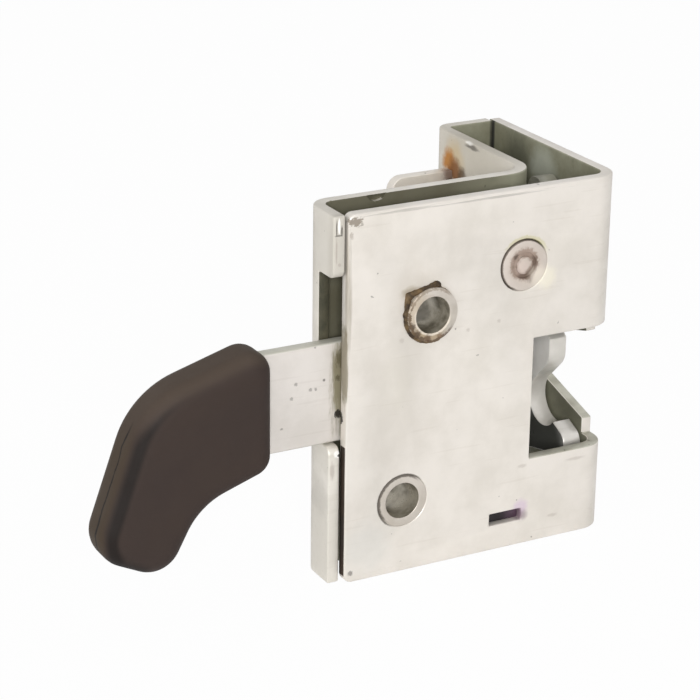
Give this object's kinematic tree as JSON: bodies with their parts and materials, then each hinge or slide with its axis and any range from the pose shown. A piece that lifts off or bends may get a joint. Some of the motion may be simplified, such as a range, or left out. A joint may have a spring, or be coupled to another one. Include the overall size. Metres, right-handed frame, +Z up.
{
  "type": "tractor door lock",
  "caption": "Rotary-claw door lock: two pressed plates bolted through bushes, a hinged hand lever with a moulded grip, and a sprung claw and pawl behind a striker mouth.",
  "frame": {"origin": "on the axis of the upper bolt bush, in the outer face of the front plate", "axes": "+X towards the striker side, along the plate; +Y from the outer face into the housing, against the bolts' way out; +Z up as mounted"},
  "size_m": [0.1353, 0.0582, 0.092],
  "materials": {
    "zinc_sheet": "pale zinc plate on pressed sheet, satin, with light storage marks",
    "bush_steel": "turned and zinc plated, satin",
    "pin_steel": "drawn bar, zinc plated, satin",
    "lever_steel": "blanked flat bar, zinc plated, satin with dark specks",
    "claw_steel": "blanked plate, zinc plated, satin",
    "spring_steel": "drawn spring wire",
    "weld": "bare weld bead with light brown rust",
    "grip_plastic": "dark brown-black moulded plastic, fine satin grain, parting line round the edge"
  },
  "bodies": {
    "housing": {"front_plate": "zinc_sheet", "back_plate": "zinc_sheet", "claw_box": "zinc_sheet", "upper_bush": "bush_steel", "lower_bush": "bush_steel", "bush_weld": "weld", "handle_pin": "pin_steel", "front_washer": "pin_steel", "rear_spacer": "pin_steel", "spring_anchor": "pin_steel", "rear_lug": "zinc_sheet", "lug_weld": "weld", "claw_pin": "pin_steel", "claw_spacer": "pin_steel", "claw_washer": "pin_steel", "claw_stop": "pin_steel", "pawl_pin": "pin_steel", "pawl_spacer": "pin_steel", "pawl_washer": "pin_steel", "claw_spring": "spring_steel", "pawl_spring": "spring_steel", "lever_spring": "spring_steel"},
    "lever": {"lever_arm": "lever_steel", "lever_peg": "pin_steel", "grip": "grip_plastic"},
    "claw": {"claw": "claw_steel", "claw_peg": "pin_steel"},
    "pawl": {"pawl": "claw_steel", "pawl_peg": "pin_steel"}
  },
  "joints": [
    {"name": "lever_pivot", "type": "hinge", "parent": "housing", "child": "lever", "pos_m": [0.0253, 0.0055, 0.0081], "axis": [0, 1, 0], "range_deg": [0, 18], "stiffness_Nm_per_rad": 0.6, "springref_deg": -20.05, "deforming": ["lever_spring"]},
    {"name": "claw_pivot", "type": "hinge", "parent": "housing", "child": "claw", "pos_m": [0.0459, 0.0345, -0.042], "axis": [1, 0, 0], "range_deg": [-37, 0], "stiffness_Nm_per_rad": 0.15, "springref_deg": 34.38, "deforming": ["claw_spring"]},
    {"name": "pawl_pivot", "type": "hinge", "parent": "housing", "child": "pawl", "pos_m": [0.0459, 0.019, -0.005], "axis": [1, 0, 0], "range_deg": [0, 24.5], "deforming": ["pawl_spring"]}
  ],
  "couplings": [
    {"joint": "pawl_pivot", "follows": "lever_pivot", "ratio": 1.35}
  ]
}
